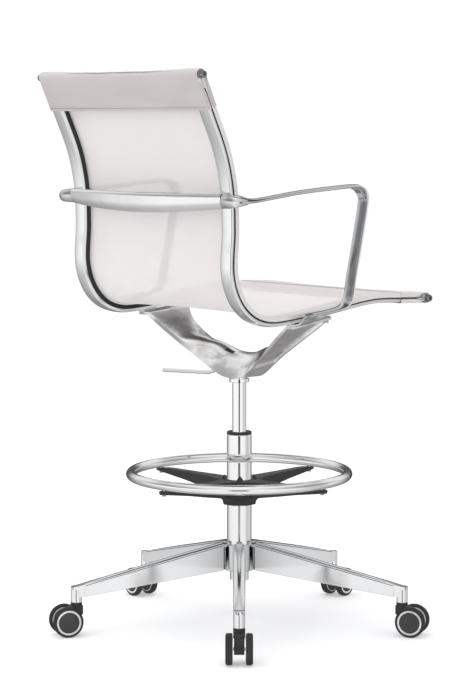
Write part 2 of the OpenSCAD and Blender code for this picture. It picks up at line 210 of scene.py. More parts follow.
def piece(name, shape, material, body, slot, stands_for=(), sharp=35, bevel=0.0):
    """A finished object from a shape, riding on a body and standing for CAD nodes."""
    obj = shape_object(name, shape, sharp)
    mesh = obj.data
    mesh.materials.append(material)
    obj.visible_glossy = material not in (NYLON, TREAD, DISC, MESH)
    if bevel:
        mod = obj.modifiers.new("edges", "BEVEL")
        mod.width, mod.segments, mod.limit_method = bevel * MM, 2, "ANGLE"
        mod.angle_limit = math.radians(sharp)
        mod.harden_normals = True
    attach(obj, body)
    if stands_for:
        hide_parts(*stands_for)
    return obj


def pair(name, shape, material, slot, node=None, **more):
    """A left piece on the seat and its mirror image, each standing for its side's node."""
    for side, half in (("left", shape), ("right", shape.mirrored())):
        stands_for = [f"{side}_{node}"] if node else ()
        piece(f"{side}_{name}", half, material, "seat", slot, stands_for, **more)


def carve(obj, shape):
    """Cuts a closed shape out of a piece, and keeps the result as its mesh."""
    cutter = shape_object("cutter", shape, 30)
    mod = obj.modifiers.new("cut", "BOOLEAN")
    mod.object, mod.operation, mod.solver = cutter, "DIFFERENCE", "EXACT"
    graph = bpy.context.evaluated_depsgraph_get()
    graph.update()
    result = bpy.data.meshes.new_from_object(obj.evaluated_get(graph))
    obj.modifiers.remove(mod)
    obj.data = result
    bpy.data.objects.remove(cutter)


def block(low, high):
    """A plain box as a shape, for cutting."""
    (x0, y0, z0), (x1, y1, z1) = low, high
    ring = [(x0, y0), (x1, y0), (x1, y1), (x0, y1)]
    return Shape().add(*skin([[(x, y, z) for x, y in ring] for z in (z0, z1)]))


# ------------------------------------------------------------------ materials
def shader(name, **values):
    """A new material with its Principled shader's sockets set."""
    mat = bpy.data.materials.new(name)
    mat.use_nodes = True
    bsdf = mat.node_tree.nodes["Principled BSDF"]
    for key, value in values.items():
        bsdf.inputs[key.replace("_", " ")].default_value = value
    return mat, mat.node_tree, bsdf


def add(tree, kind, **settings):
    node = tree.nodes.new(kind)
    for key, value in settings.items():
        if key in node.inputs:
            node.inputs[key].default_value = value
        else:
            setattr(node, key, value)
    return node


def coords(tree, scale, kind="Object"):
    """Stretched texture coordinates."""
    tex = add(tree, "ShaderNodeTexCoord")
    mapping = add(tree, "ShaderNodeMapping")
    mapping.inputs["Scale"].default_value = scale
    tree.links.new(tex.outputs[kind], mapping.inputs["Vector"])
    return mapping.outputs["Vector"]


def noise(tree, vector, scale, detail=3.0, rough=0.5):
    node = add(tree, "ShaderNodeTexNoise", Scale=scale, Detail=detail, Roughness=rough)
    tree.links.new(vector, node.inputs["Vector"])
    return node.outputs["Fac"]


def ramp(tree, value, stops):
    node = add(tree, "ShaderNodeValToRGB")
    tree.links.new(value, node.inputs["Fac"])
    band = node.color_ramp
    while len(band.elements) < len(stops):
        band.elements.new(0.5)
    for element, (at, colour) in zip(band.elements, stops):
        element.position = at
        element.color = (*colour, 1) if len(colour) == 3 else colour
    return node.outputs["Color"]


def grey(v):
    return (v, v, v)


def levels(tree, value, low, high, out_low, out_high):
    node = add(tree, "ShaderNodeMapRange")
    tree.links.new(value, node.inputs["Value"])
    for key, v in (("From Min", low), ("From Max", high), ("To Min", out_low), ("To Max", out_high)):
        node.inputs[key].default_value = v
    return node.outputs["Result"]


def mix_colours(tree, factor, first, second, blend="MIX"):
    """Mix of two colours; each of the three inputs is a value or another node's output."""
    node = add(tree, "ShaderNodeMix", data_type="RGBA", blend_type=blend)
    for key, value in (("Factor", factor), ("A", first), ("B", second)):
        if isinstance(value, (float, tuple)):
            node.inputs[key].default_value = value
        else:
            tree.links.new(value, node.inputs[key])
    return node.outputs["Result"]


def bump(tree, bsdf, height, strength, distance, normal=None):
    node = add(tree, "ShaderNodeBump", Strength=strength, Distance=distance)
    tree.links.new(height, node.inputs["Height"])
    if normal is not None:
        tree.links.new(normal, node.inputs["Normal"])
    tree.links.new(node.outputs["Normal"], bsdf.inputs["Normal"])
    return node.outputs["Normal"]


def polished_metal(name, colour, dark, rough, grain, grain_scale, relief=0.02, waves=0.0,
                   painted_shading=None, drift_scale=5.0):
    """Metal with a drift of tone, uneven polish, fine polishing lines one way and, where asked, painted
    light and shade.

    waves is the depth in metres of the shallow unevenness that hand polishing leaves;
    fade = (axes, [(distance, tone), ...]) is painted light and shade: it multiplies the colour by a tone
    that changes with the distance from the origin along the axes given, in metres up to half a metre.
    """
    mat, tree, bsdf = shader(name, Metallic=1.0)
    plain = coords(tree, (1, 1, 1))
    drift = noise(tree, plain, drift_scale, 2.0)
    tone = ramp(tree, drift, [(0.3, dark), (0.7, colour)])
    # Painted light and shade: the colour is multiplied by a ramp of tones over the distance from the
    # origin
    if painted_shading:
        reach = add(tree, "ShaderNodeVectorMath", operation="LENGTH")
        tree.links.new(coords(tree, [2 * a for a in painted_shading[0]]), reach.inputs[0])
        shade = ramp(tree, reach.outputs["Value"], [(2 * d, grey(v)) for d, v in painted_shading[1]])
        tone = mix_colours(tree, 1.0, tone, shade, "MULTIPLY")
    tree.links.new(tone, bsdf.inputs["Base Color"])
    lines = noise(tree, coords(tree, grain), grain_scale, 3.0, 0.5)
    smudges = noise(tree, plain, 18.0, 2.0)
    both = add(tree, "ShaderNodeMath", operation="ADD")
    tree.links.new(lines, both.inputs[0])
    tree.links.new(smudges, both.inputs[1])
    uneven = levels(tree, both.outputs[0], 0.7, 1.3, rough[0], rough[1])
    tree.links.new(uneven, bsdf.inputs["Roughness"])
    swell = bump(tree, bsdf, noise(tree, plain, 26.0, 2.0), 1.0, waves) if waves else None
    bump(tree, bsdf, lines, relief, 0.0001, swell)
    return mat


def black_plastic(name, level, rough, grain_scale, depth):
    """Moulded plastic or rubber, black or pale by its level, with a fine eroded grain."""
    mat, tree, bsdf = shader(name, Roughness=rough)
    plain = coords(tree, (1, 1, 1))
    patches = noise(tree, plain, 35.0, 3.0)
    tree.links.new(
        ramp(tree, patches, [(0.3, grey(level * 0.8)), (0.75, grey(level * 1.3))]),
        bsdf.inputs["Base Color"],
    )
    grain = noise(tree, plain, grain_scale, 2.0, 0.6)
    tree.links.new(levels(tree, grain, 0.3, 0.7, rough - 0.08, rough + 0.1), bsdf.inputs["Roughness"])
    bump(tree, bsdf, grain, 0.35, depth)
    return mat


def woven_mesh(name, colour, shade, pitch, opacity):
    """Open woven cloth: crossing threads from the two surface directions, slightly see-through."""
    mat, tree, bsdf = shader(name, Roughness=0.62)
    bsdf.inputs["Specular IOR Level"].default_value = 0.35
    bsdf.inputs["Sheen Weight"].default_value = 0.15
    uv = coords(tree, (1, 1, 1), "UV")
    threads = []
    for direction in ("X", "Y"):
        wave = add(tree, "ShaderNodeTexWave", bands_direction=direction, Scale=1 / pitch)
        tree.links.new(uv, wave.inputs["Vector"])
        threads.append(wave.outputs["Fac"])
    weave = add(tree, "ShaderNodeMath", operation="MAXIMUM")
    for k in (0, 1):
        tree.links.new(threads[k], weave.inputs[k])
    drift = noise(tree, coords(tree, (1, 1, 1)), 14.0, 3.0)
    tone = ramp(tree, drift, [(0.3, shade), (0.7, colour)])
    fine = levels(tree, weave.outputs[0], 0.0, 1.0, 0.9, 1.0)
    tree.links.new(mix_colours(tree, 1.0, tone, fine, "MULTIPLY"), bsdf.inputs["Base Color"])
    tree.links.new(
        levels(tree, weave.outputs[0], 0.2, 0.8, opacity - 0.06, opacity + 0.06),
        bsdf.inputs["Alpha"],
    )
    bump(tree, bsdf, weave.outputs[0], 0.5, 0.0003)
    return mat


def coated_cloth(name, colour, shade):
    """Close-woven coated fabric with soft mottling and a fine grain."""
    mat, tree, bsdf = shader(name, Roughness=0.5)
    bsdf.inputs["Sheen Weight"].default_value = 0.1
    plain = coords(tree, (1, 1, 1))
    streaks = noise(tree, coords(tree, (0.25, 1.0, 1.0)), 22.0, 3.0)
    tree.links.new(ramp(tree, streaks, [(0.3, shade), (0.7, colour)]), bsdf.inputs["Base Color"])
    grain = noise(tree, plain, 1500.0, 2.0)
    tree.links.new(levels(tree, grain, 0.3, 0.7, 0.42, 0.6), bsdf.inputs["Roughness"])
    bump(tree, bsdf, grain, 0.3, 0.0002)
    return mat


ALUMINIUM = polished_metal(
    "polished_aluminium", grey(0.95), grey(0.90), (0.07, 0.14), (1, 0.06, 0.06), 900.0, 0.01)
ARM_ALUMINIUM = polished_metal(
    "arm_aluminium", (0.93, 0.935, 0.945), grey(0.87), (0.08, 0.16), (1, 0.08, 0.08), 900.0,
    0.01, 0.0006)
# Painted highlight: the underframe's tone is raised up to 1.7 times within 40 mm of the column axis
CAST_ALUMINIUM = polished_metal(
    "cast_aluminium", (0.96, 0.935, 0.93), (0.68, 0.655, 0.65), (0.12, 0.24), (0.3, 1, 0.3),
    300.0, 0.01, 0.0008, ((1, 1, 0), [(0.04, 1.7), (0.09, 1.05), (0.15, 1.15)]), 24.0)
# Painted shade: the base's tone falls to 0.72 at the hub and rises to full 200 mm out
BASE_ALUMINIUM = polished_metal(
    "base_aluminium", (0.90, 0.91, 0.925), (0.86, 0.87, 0.885), (0.10, 0.13), (1, 1, 0.15), 300.0,
    0.0, 0.0, ((1, 1, 0), [(0.03, 0.72), (0.10, 0.92), (0.20, 1.0)]))
# Painted light and shade across the armrest strap, by distance from the centre plane: lighter along its
# inner edge and outer rim, darker over its outer face
STRAP_ALUMINIUM = polished_metal(
    "strap_aluminium", (0.90, 0.91, 0.93), (0.82, 0.83, 0.85), (0.08, 0.16), (1, 1, 0.15), 300.0,
    0.004, 0.0, ((1, 0, 0), [(0.262, 0.8), (0.268, 1.1), (0.271, 0.95), (0.279, 0.66),
                             (0.2945, 0.60), (0.2960, 1.1)]))
CHROME = polished_metal("chrome", grey(0.96), grey(0.93), (0.02, 0.05), (1, 1, 1), 300.0, 0.0)
STEEL = polished_metal("zinc_steel", grey(0.55), grey(0.40), (0.25, 0.4), (1, 1, 1), 700.0)
DARK_STEEL = polished_metal(
    "dark_steel", grey(0.34), grey(0.2), (0.15, 0.3), (1, 1, 1), 700.0)
NYLON = black_plastic("black_nylon", 0.012, 0.36, 1200.0, 0.00015)
TREAD = black_plastic("tyre_rubber", 0.018, 0.6, 900.0, 0.0003)
DISC = black_plastic("wheel_disc", 0.035, 0.5, 700.0, 0.0006)
PALE_RING = black_plastic("pale_ring", 0.62, 0.35, 500.0, 0.0001)
MESH = woven_mesh("sling_mesh", (0.85, 0.805, 0.795), (0.83, 0.785, 0.775), 0.0016, 0.60)
BAND = coated_cloth("sleeve_cloth", (0.515, 0.475, 0.47), (0.455, 0.418, 0.412))
HEM = coated_cloth("front_sleeve_cloth", (0.66, 0.62, 0.615), (0.60, 0.56, 0.555))
THREAD = coated_cloth("stitch_thread", (0.26, 0.22, 0.215), (0.2, 0.17, 0.165))


# ------------------------------------------------------------------ rails
rail_curve = smooth_line(RAIL_LINE, RAIL_STEPS)
rail_heading = headings(rail_curve)
# Towards the sitter: forwards on the back, upwards on the seat
rail_normal = np.stack([rail_heading[:, 1], -rail_heading[:, 0]], axis=1)


def in_plane(yz, x):
    return np.array([x, yz[0], yz[1]])


def rail_section():
    """Outline (x, depth) of the left rail: crowned rear flange, dark groove, front flange."""
    crown = []
    for k in range(9):
        x = RAIL_IN + 1.2 + (RAIL_OUT - RAIL_IN - 2.4) * k / 8
        t = (x - (RAIL_IN + RAIL_OUT) / 2) / (RAIL_OUT - RAIL_IN) * 2
        crown.append((x, -RAIL_HALF_DEPTH + 1.5 * t * t))
    groove_floor = RAIL_OUT - 7
    return crown + [
        (RAIL_OUT - 0.3, -RAIL_HALF_DEPTH + 2.2), (RAIL_OUT, -RAIL_HALF_DEPTH + 3),
        (RAIL_OUT, -GROOVE_HALF - 0.5), (RAIL_OUT - 0.5, -GROOVE_HALF),
        (groove_floor, -GROOVE_HALF), (groove_floor, GROOVE_HALF),
        (RAIL_OUT - 0.5, GROOVE_HALF), (RAIL_OUT, GROOVE_HALF + 0.5),
        (RAIL_OUT, RAIL_HALF_DEPTH - 1), (RAIL_OUT - 1, RAIL_HALF_DEPTH),
        (RAIL_IN + 1, RAIL_HALF_DEPTH), (RAIL_IN, RAIL_HALF_DEPTH - 1),
        (RAIL_IN, -RAIL_HALF_DEPTH + 2.6), (RAIL_IN + 0.3, -RAIL_HALF_DEPTH + 1.9),
    ]


def along_rail(section, first=0, last=None):
    """Rings of an (x, depth) section carried along the rail's middle line."""
    last = len(rail_curve) - 1 if last is None else last
    rings = []
    for i in range(first, last + 1):
        rings.append([in_plane(rail_curve[i] + d * rail_normal[i], x) for x, d in section])
    return rings


def make_rails():
    rail = Shape().add(*skin(along_rail(rail_section())))
    for end in (0, len(rail_curve) - 1):
        eye = [(3, -0.05), (RAIL_HALF_DEPTH - 0.9, -0.05), (RAIL_HALF_DEPTH - 0.35, 0.5),
               (RAIL_HALF_DEPTH - 0.35, RAIL_OUT - RAIL_IN - 0.5),
               (RAIL_HALF_DEPTH - 0.9, RAIL_OUT - RAIL_IN + 0.05),
               (3, RAIL_OUT - RAIL_IN + 0.05)]
        rail.add(*turned(eye, 48, (1, 0, 0), in_plane(rail_curve[end], RAIL_IN)))
    liner = [(RAIL_IN - 2.6, -1.6), (RAIL_IN - 0.1, -2.0), (RAIL_IN - 0.1, 6.6),
             (RAIL_IN - 2.8, 6.6), (RAIL_IN - 3.2, 5.6), (RAIL_IN - 3.2, -0.8)]
    strip = Shape().add(*skin(along_rail(liner, 6, len(rail_curve) - 7)))
    # Black retaining spline in the rail's outer groove; it is also painted shade, darkening the groove
    spline_and_shade = [(RAIL_OUT - 6.9, -1.95), (RAIL_OUT - 1.5, -1.95), (RAIL_OUT - 1.1, -1.4),
            (RAIL_OUT - 1.1, 1.4), (RAIL_OUT - 1.5, 1.95), (RAIL_OUT - 6.9, 1.95)]
    spline_and_shade_strip = Shape().add(*skin(along_rail(spline_and_shade, 3, len(rail_curve) - 4)))
    pair("groove_spline_and_shade", spline_and_shade_strip, NYLON, "black_plastic")
    pair("rail_profile", rail, ALUMINIUM, "polished_aluminium", "rail")
    pair("liner_strip", strip, NYLON, "black_plastic", "liner")


def make_rod_ends():
    """Screw caps with round sockets, and dark washer rings that also paint the shadow in the gap between
    rail end and cap, at the four ends of the cross rods.
    """
    caps, washer_shade_rings = Shape(), Shape()
    depth = box_mm("rod_caps")[1][0] - RAIL_OUT
    for end in (0, len(rail_curve) - 1):
        at = in_plane(rail_curve[end], RAIL_OUT)
        face = [(0, depth - 3), (2.9, depth - 3), (3.1, depth - 0.3), (3.5, depth), (5.2, depth),
                (6.6, depth - 0.9), (7.0, depth - 2.4), (7.0, 3.9), (6.6, 3.4), (0, 3.4)]
        ring = [(3, 0.2), (7.2, 0.2), (7.2, 3.3), (3, 3.3)]
        caps.add(*turned(face, 48, (1, 0, 0), at, closed=False))
        # Dark washer ring, partly a painted shadow of the gap beside the cap
        washer_shade_rings.add(*turned(ring, 40, (1, 0, 0), at))
    for side, c, w in (("left", caps, washer_shade_rings), ("right", caps.mirrored(), washer_shade_rings.mirrored())):
        piece(f"{side}_rod_caps", c, DARK_STEEL, "seat", "chrome", ["rod_caps"])
        piece(f"{side}_rod_washer_shade_rings", w, NYLON, "seat", "black_plastic")


# ------------------------------------------------------------------ sling and sleeves
# Columns of faces across a cloth, and how far it hangs in at a cross rod
CLOTH_COLUMNS, SAG_DEPTH = 36, 3.0
# Depth of the side flaps, and the least that is left of one where it runs out
SLING_FLAP, SLEEVE_FLAP = 9.0, 8.0
SLING_FLAP_MIN, SLEEVE_FLAP_MIN = 0.4, 0.5
# How far the sling goes round a cross rod, in degrees, and in how many steps
SLING_WRAP, SLING_WRAP_STEPS = 110, 8


def wrap_stations(end, radius_steps, turn):
    """Stations round a cross rod: (middle, outward direction) from the seat side to the rear."""
    way = 1 if end == 0 else -1
    middle, normal = rail_curve[end], rail_normal[end]
    ahead = rail_heading[end] * way
    out = []
    for k in range(1, radius_steps + 1):
        a = math.radians(turn * k / radius_steps)
        out.append((middle, math.cos(a) * normal - math.sin(a) * ahead))
    return out


def cloth_ring(station, outer, thick, half, flap, bulge):
    """Closed ring of a strip of cloth that spans both rails and folds into their grooves."""
    middle, out = station
    line = [(-half, outer - flap), (-half, outer - 1.4), (-half + 0.5, outer - 0.4),
            (-half + 1.4, outer)]
    span = RAIL_IN - 2
    for k in range(CLOTH_COLUMNS + 1):
        x = -span + 2 * span * k / CLOTH_COLUMNS
        line.append((x, outer + bulge * (1 - (x / span) ** 2)))
    line += [(-x, d) for x, d in line[3::-1]]
    inner = []
    for x, d in line:
        if abs(x) > half - 1:
            inner.append((math.copysign(half - thick, x), min(d, outer - thick)))
        else:
            inner.append((x, d - thick))
    ring = line + inner[::-1]
    return [in_plane(middle + d * out, x) for x, d in ring]


def arc_length(points):
    return np.concatenate([[0], np.cumsum(np.linalg.norm(np.diff(points, axis=0), axis=1))])


def give_uv(obj):
    """UVs in metres on a cloth tube: across the sheet and along it."""
    mesh = obj.data
    layer = mesh.uv_layers.new(name="cloth")
    middle = {}
    heights = arc_length(rail_curve) * MM
    points = rail_curve * MM
    for loop in mesh.loops:
        v = mesh.vertices[loop.vertex_index].co
        if loop.vertex_index not in middle:
            d = (points[:, 0] - v.y) ** 2 + (points[:, 1] - v.z) ** 2
            middle[loop.vertex_index] = heights[int(np.argmin(d))]
        layer.data[loop.index].uv = (v.x, middle[loop.vertex_index])


def sag(steps):
    """How far cloth hangs in towards a cross rod, so many steps along the rail from its end."""
    return -SAG_DEPTH * (1 - ease(steps / 7))


def make_rods():
    """Cross rods, slimmer between their shouldered ends."""
    for node, end in (("top_rod", 0), ("front_rod", len(rail_curve) - 1)):
        low, high = box_mm(node)[0][0], box_mm(node)[1][0]
        r = (box_mm(node)[1][2] - box_mm(node)[0][2]) / 2
        slim = r - 2
        line = [(0, low), (r - 0.5, low), (r, low + 0.5), (r, low + 18), (slim, low + 26),
                (slim, high - 26), (r, high - 18), (r, high - 0.5), (r - 0.5, high), (0, high)]
        rod = Shape().add(*turned(line, 40, (1, 0, 0), in_plane(rail_curve[end], 0), closed=False))
        piece(f"{node}_bar", rod, STEEL, "seat", "chrome", [node])


def make_sling():
    outer, thick, half = RAIL_HALF_DEPTH + 0.9, 0.7, RAIL_OUT + 0.9
    stations = [(m, d, SLING_FLAP_MIN, sag(0))
                for m, d in wrap_stations(0, SLING_WRAP_STEPS, SLING_WRAP)[::-1]]
    turn = np.gradient(np.unwrap(np.arctan2(rail_heading[:, 1], rail_heading[:, 0])))
    turn = np.convolve(turn, np.ones(9) / 9, mode="same")
    last = len(rail_curve) - 1
    for i in range(last + 1):
        bulge = max(-5.0, min(6.0, -turn[i] * 95)) + sag(min(i, last - i))
        flap = max(SLING_FLAP * ease(min(i, last - i) / 4), SLING_FLAP_MIN)
        stations.append((rail_curve[i], rail_normal[i], flap, bulge))
    stations += [(m, d, SLING_FLAP_MIN, sag(0))
                 for m, d in wrap_stations(last, SLING_WRAP_STEPS, SLING_WRAP)]
    rings = [cloth_ring((m, d), outer, thick, half, flap, bulge)
             for m, d, flap, bulge in stations]
    obj = piece("sling_cloth", Shape().add(*skin(rings)), MESH, "seat", "mesh_fabric",
                ["mesh_sling"], sharp=70)
    give_uv(obj)


def sleeve_stations(end, count, front, rear):
    """U-shaped path of a sleeve: up the seat side, round the rod and back along the rear."""
    way = 1 if end == 0 else -1
    idx = [end + way * k for k in range(count, -1, -1)]
    path = [(rail_curve[i], rail_normal[i], front, SLEEVE_FLAP * ease(abs(i - end) / 4),
             sag(abs(i - end))) for i in idx]
    wraps = wrap_stations(end, 12, 180)
    for k, (m, d) in enumerate(wraps[:-1]):
        path.append((m, d, front + (rear - front) * (k + 1) / len(wraps),
                     SLEEVE_FLAP_MIN, sag(0)))
    path += [(rail_curve[i], -rail_normal[i], rear, SLEEVE_FLAP * ease(abs(i - end) / 4),
              sag(abs(i - end))) for i in idx[::-1]]
    return path


def make_sleeve(name, node, end, count, material, slot, ripple):
    rng = np.random.default_rng(7)
    phase = rng.uniform(0, 6.28, 6)
    half, thick = RAIL_OUT + 1.9, 0.9
    path = sleeve_stations(end, count, RAIL_HALF_DEPTH + 2.0, RAIL_HALF_DEPTH + 1.2)
    lengths = arc_length(np.array([m + o * d for m, d, o, _, _ in path]))
    rings = []
    for k, (m, d, outer, flap, bulge) in enumerate(path):
        ring = cloth_ring((m, d), outer, thick, half, max(flap, SLEEVE_FLAP_MIN), bulge)
        s = lengths[k]
        soft = ease((s - 10) / 25) * ease((lengths[-1] - s - 6) / 20)
        moved = []
        for p in ring:
            w = sum(math.sin(p[0] * f + s * g + ph) for f, g, ph in
                    zip((0.031, 0.052, 0.083), (0.05, -0.04, 0.09), phase))
            push = ripple * soft * w * (abs(p[0]) < RAIL_IN)
            moved.append(p + in_plane(d * push, 0))
        rings.append(moved)
    obj = piece(name, Shape().add(*skin(rings)), material, "seat", slot, [node], sharp=70)
    return path, half


def make_hem(name, path, half, material, slot):
    """Doubled hem and a row of stitches along the rear edge of a sleeve."""
    inset = 7.0
    middles = np.array([m + o * d for m, d, o, _, _ in path])
    lengths = arc_length(middles)
    total = lengths[-1]

    def at(s):
        """Point and outward direction at a distance from the rear edge."""
        t = total - s
        i = int(np.searchsorted(lengths, t)) - 1
        i = min(max(i, 0), len(path) - 2)
        f = (t - lengths[i]) / (lengths[i + 1] - lengths[i])
        return middles[i] * (1 - f) + middles[i + 1] * f, unit(path[i][1] * (1 - f) + path[i + 1][1] * f)

    hem = Shape()
    outline = [(0.2, -0.3), (0.2, 0.5), (0.8, 0.8), (inset + 0.6, 0.8), (inset + 1.4, 0.0),
               (inset + 1.4, -0.3)]
    rings = []
    for x in np.linspace(-half + 1.2, half - 1.2, 61):
        ring = []
        for s, d in outline:
            p, out = at(s)
            ring.append(in_plane(p + d * out, x))
        rings.append(ring)
    hem.add(*skin(rings))
    piece(f"{name}_hem", hem, material, "seat", slot, sharp=60)
    stitches = Shape()
    pitch, long, wide = 3.6, 2.8, 0.5
    p, out = at(inset - 1.2)
    along = unit(at(inset)[0] - at(inset - 2)[0])
    for x in np.arange(-half + 6, half - 6, pitch):
        rings = []
        for t in (0, 0.3, 0.7, 1):
            lift = 0.8 + 0.35 * math.sin(math.pi * t)
            size = wide * (0.6 if t in (0, 1) else 1)
            rings.append([
                in_plane(p + (lift + size * math.sin(a)) * out + size * math.cos(a) * along,
                         x + long * t)
                for a in (0, 1.57, 3.14, 4.71)
            ])
        stitches.add(*skin(rings))
    piece(f"{name}_stitches", stitches, THREAD, "seat", slot, sharp=80)


# ------------------------------------------------------------------ spreader and armrests
SPREADER_HALF = box_mm("back_spreader")[1][0]
SPREADER_TOP = box_mm("back_spreader")[1][2]


def belt_ring(x, place=None, grow=0.0):
    """Outline of the belt where it is at x: nearly flat above, rolling under below."""
    b = 1 - (x / SPREADER_HALF) ** 2
    low, high = 852 - 12 * b - grow, SPREADER_TOP + grow
    inner, outer = 231 + 26 * b, 247 + 20 * b + grow
    mid, half = (low + high) / 2, (high - low) / 2
    x = x if place is None else place
    ring = []
    for j in range(25):
        t = -1 + 2 * j / 24
        back = 6.0 * t * t if t < 0 else 4.5 * t ** 7
        ring.append((x, outer - back, mid + half * t))
    return ring + [(x, inner + 2, high - 0.4), (x, inner, high - 2.5), (x, inner, low + 2.5),
                   (x, inner + 2, low + 0.4)]


def make_spreader():
    """Bowed belt behind the rails, and the dark joint lines at its two ends."""
    half = SPREADER_HALF
    rings = [belt_ring(-half + 2 * half * k / 64) for k in range(65)]
    piece("back_spreader_belt", Shape().add(*skin(rings)), ARM_ALUMINIUM, "seat",
          "polished_aluminium", ["back_spreader"], sharp=40)
    for side, way in (("left", 1), ("right", -1)):
        joint = [belt_ring(half, way * x, 0.35) for x in (half - 0.5, half + 0.5)]
        piece(f"{side}_belt_joint", Shape().add(*skin(joint)), NYLON, "seat", "black_plastic")


ARM_X = box_mm("left_armrest")[1][0] - 15
# Middle line of the armrest strip as (x, y, z), with its width direction and size
ARM_TURN = [
    ((233, 238, 867), 0, 16, 9), ((248, 241, 867), 8, 17, 8.5), ((263, 238, 867.5), 30, 20, 8),
    ((275, 226, 867.5), 62, 25, 7.8), ((280.5, 206, 867.5), 84, 28, 7.8),
]
ARM_LOOP = [
    (174, 871), (99, 880), (22, 886), (-38, 889.5), (-57, 887), (-68.5, 877), (-70, 858),
    (-60, 808), (-49, 758), (-38.5, 711), (-33, 680), (-25, 665), (-8, 657), (24, 652), (68, 648),
]


def lens_section(w, h):
    """Lens-shaped outline: crowned faces that meet in small rounded edges."""
    out, steps = [], 16
    for sign in (1, -1):
        for k in range(steps):
            t = math.cos(math.pi * k / steps)
            rise = 1.1 * math.sqrt(1 - abs(t) ** 12) + (h / 2 - 1.1) * (1 - t * t)
            out.append((sign * t * w / 2, sign * rise))
    return out


def make_armrests():
    points, width_dirs, widths, thick = [], [], [], []
    for p, angle, w, t in ARM_TURN:
        a = math.radians(angle)
        points.append(p)
        width_dirs.append((-math.sin(a), 0, math.cos(a)))
        widths.append(w)
        thick.append(t)
    for y, z in ARM_LOOP:
        points.append((ARM_X, y, z))
        width_dirs.append((-1, 0, 0))
        widths.append(30)
        thick.append(7.8)
    steps = 6
    line = smooth_line(points, steps)
    spread = smooth_line([(*d, w, t) for d, w, t in zip(width_dirs, widths, thick)], steps)
    ahead = headings(line)
    sides, ups, sections = [], [], []
    for h, row in zip(ahead, spread):
        side = row[:3] - (row[:3] @ h) * h
        side = unit(side)
        sides.append(side)
        ups.append(np.cross(h, side))
        sections.append(lens_section(row[3], row[4]))
    arm = Shape().add(*swept(line, sides, ups, sections))
    # Half-bullet that carries the belt's end round the rail into the arm's lower edge
    bullet_line = smooth_line(
        [(230.4, 239, 865.5), (240, 240.5, 865.3), (252, 242, 865), (264, 240, 864.6),
         (276, 232, 864.6), (283, 221, 865)], 6)
    heights = smooth_line([(13.4, 8.6), (13.4, 8.6), (12.6, 8), (10.6, 6.8), (7.2, 5), (3, 2.2)], 6)
    way = headings(bullet_line)
    rings = []
    for p, h, (tall, deep) in zip(bullet_line, way, heights):
        out = unit(np.cross(UP, h))
        out = out if out[1] > 0 else -out
        ring = []
        for k in range(28):
            a = 2 * math.pi * k / 28
            ring.append(p + tall * math.sin(a) * UP + deep * math.cos(a) * out)
        rings.append(ring)
    arm.add(*skin(rings))
    # Web inside the upper front corner
    outline = [(-45, 887), (-58, 886), (-67, 872), (-66, 864), (-62, 868), (-58, 875),
               (-52, 881), (-45, 884)]
    arm.add(*skin([[(x, y, z) for y, z in outline]
                   for x in (ARM_X - 8, ARM_X - 7, ARM_X + 7, ARM_X + 8)]))
    # Foot: the lower run's end turned inwards under the rail
    foot_line = smooth_line(
        [(ARM_X + 8, 0, 649), (ARM_X - 6, 0, 648), (ARM_X - 20, 0, 642), (ARM_X - 30, 0, 632),
         (ARM_X - 42, 0, 628.5), (ARM_X - 62, 0, 628)], 5)
    low_y, high_y = 34, 67
    rings = []
    for p, h in zip(foot_line, headings(foot_line)):
        up = np.array([-h[2], 0, h[0]])
        up = up if up[2] > 0 else -up
        ring = []
        for u, v in rounded_rect(high_y - low_y, 5.0, 1.6):
            q = p + v * up
            y = (low_y + high_y) / 2 + u
            drop = rail_under(y) - rail_under(42) if p[0] < 262 else 0
            ring.append((q[0], y, q[2] + drop * ease((262 - p[0]) / 14)))
        rings.append(ring)
    arm.add(*skin(rings))
    pair("armrest_loop", arm, STRAP_ALUMINIUM, "polished_aluminium", "armrest", sharp=40)


def rail_under(y):
    """Height of the rails' underside at a depth y, under the seat."""
    low = rail_curve - RAIL_HALF_DEPTH * rail_normal
    seat = low[low[:, 1] < 700]
    order = np.argsort(seat[:, 0])
    return float(np.interp(y, seat[order, 0], seat[order, 1]))


# ------------------------------------------------------------------ underframe and lever
SOCKET_Z = box_mm("antler")[0][2]
# Edges of the underframe's half, as (x, y, z): rear lower, rear upper, front lower, front upper
REAR_LOW = [
    (0, 25, 501), (20, 25, 503.3), (30, 26, 505.8), (40, 27, 509.4), (50, 28, 514.1),
    (60, 29.5, 519.5), (75, 31.6, 528.1), (90, 35.6, 537.4), (110, 40.8, 550), (130, 46.2, 562.3),
    (148, 50.6, 573.8), (170, 55.8, 588), (190, 60.1, 601.4), (208, 63.6, 613.6), (216, 65, 617),
    (236, 69, 617.5),
]
REAR_HIGH = [
    (0, 9.5, 538.8), (20, 9.5, 539), (40, 10.5, 540.7), (60, 13, 544.1), (75, 17.2, 548.3),
    (90, 24.5, 552.8), (110, 35.5, 561.2), (130, 43.8, 571.6), (148, 48.6, 583), (170, 54, 597.4),
    (190, 58.4, 610.8), (208, 62, 622.8), (216, 64, 627.5), (236, 68, 630),
]
FRONT_LOW = [
    (0, -38, 500.5), (20, -39, 503.5), (30, -41, 508), (40, -42, 515), (60, -42, 530),
    (90, -35.5, 547), (110, -32, 557.8), (130, -30, 569), (148, -29, 579.5), (170, -29, 593),
    (190, -34, 607.5), (208, -43, 624), (216, -43, 630.5), (236, -31, 633),
]
FRONT_HIGH = [
    (0, -38, 545), (20, -38, 545.5), (40, -39, 546), (60, -39, 548), (90, -34.5, 556),
    (110, -31.5, 566.5), (130, -29.5, 577.5), (148, -28.5, 588), (170, -28.5, 601.5),
    (190, -33.5, 616), (208, -42.5, 631), (216, -43, 637), (236, -31, 640),
]
CROWN = [(0, 9), (20, 10), (40, 13), (60, 17), (75, 18), (90, 17), (110, 13), (130, 8), (148, 5),
         (170, 3.5), (190, 2), (236, 0)]


